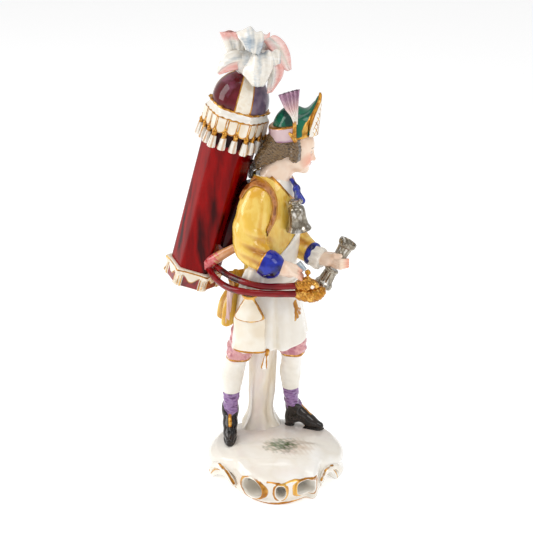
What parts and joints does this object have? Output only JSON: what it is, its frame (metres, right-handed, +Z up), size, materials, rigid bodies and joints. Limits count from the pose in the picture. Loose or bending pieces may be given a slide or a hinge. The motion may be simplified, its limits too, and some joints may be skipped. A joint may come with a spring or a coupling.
{
  "type": "porcelain figurine",
  "caption": "Glazed porcelain figurine of a street drink seller with a domed tank on the back, hoses and taps, a bell and beakers, standing on a scrolled base.",
  "frame": {"origin": "centre of the base on its underside", "axes": "+Z up, +X the way the figure looks, -Y towards the figure's right side"},
  "size_m": [0.0691, 0.0519, 0.165],
  "materials": {
    "porcelain_white": "glossy glaze over enamel colour",
    "enamel_yellow": "glossy glaze over enamel colour",
    "enamel_oxblood": "glossy glaze over enamel colour",
    "enamel_cobalt": "glossy glaze over enamel colour",
    "enamel_green": "glossy glaze over enamel colour",
    "enamel_black": "glossy glaze over enamel colour",
    "enamel_purple": "glossy glaze over enamel colour",
    "enamel_pink": "glossy glaze over enamel colour",
    "enamel_mauve": "glossy glaze over enamel colour",
    "enamel_brown": "glossy glaze over enamel colour",
    "flesh_tint": "glossy glaze over enamel colour",
    "hair_brown": "glossy glaze over enamel colour",
    "gilding": "glossy glaze over enamel colour",
    "silver_lustre": "glossy glaze over enamel colour",
    "plume_tint": "glossy glaze over enamel colour",
    "dome_panels": "glossy glaze over enamel colour",
    "valance_white_gold": "glossy glaze over enamel colour"
  },
  "bodies": {
    "root": {"base_mound": "porcelain_white", "base_gallery": "porcelain_white", "base_scrolls": "porcelain_white", "tree_trunk": "porcelain_white", "right_shoe": "enamel_black", "left_shoe": "enamel_black", "right_sock": "enamel_purple", "left_sock": "enamel_purple", "right_stocking": "porcelain_white", "left_stocking": "porcelain_white", "right_breeches_leg": "enamel_pink", "left_breeches_leg": "enamel_pink", "apron": "porcelain_white", "coat_skirt": "enamel_yellow", "shirt_tail": "porcelain_white", "apron_string": "porcelain_white", "jacket_body": "enamel_yellow", "apron_bib": "porcelain_white", "head": "flesh_tint", "shirt_collar": "porcelain_white", "neckerchief": "enamel_cobalt", "hat_crown": "enamel_green", "hat_front_plate": "valance_white_gold", "hat_rear_flap": "enamel_mauve", "hat_cockade": "gilding", "hat_feather": "enamel_mauve", "hair": "hair_brown", "queue_ribbon": "enamel_black", "right_sleeve": "enamel_yellow", "left_sleeve": "enamel_yellow", "right_cuff": "enamel_cobalt", "left_cuff": "enamel_cobalt", "right_hand": "flesh_tint", "left_hand": "flesh_tint", "left_shirt_ruffle": "porcelain_white", "upper_beaker": "silver_lustre", "lower_beaker": "silver_lustre", "bell": "silver_lustre", "measure_cup": "silver_lustre", "tank_body": "enamel_oxblood", "tank_band": "valance_white_gold", "tank_cornice": "valance_white_gold", "tank_valance": "valance_white_gold", "tank_tassels": "valance_white_gold", "tank_dome": "dome_panels", "tank_saddle": "enamel_brown", "plume_middle": "plume_tint", "plume_left": "plume_tint", "plume_right": "plume_tint", "plume_drooping": "plume_tint", "plume_rear": "plume_tint", "right_shoulder_strap": "enamel_brown", "left_shoulder_strap": "enamel_brown", "waist_strap": "enamel_brown", "lower_hose": "enamel_oxblood", "upper_hose": "enamel_oxblood", "lower_tap": "gilding", "upper_tap": "gilding", "pouch": "porcelain_white", "pouch_tassel": "gilding"}
  },
  "joints": []
}
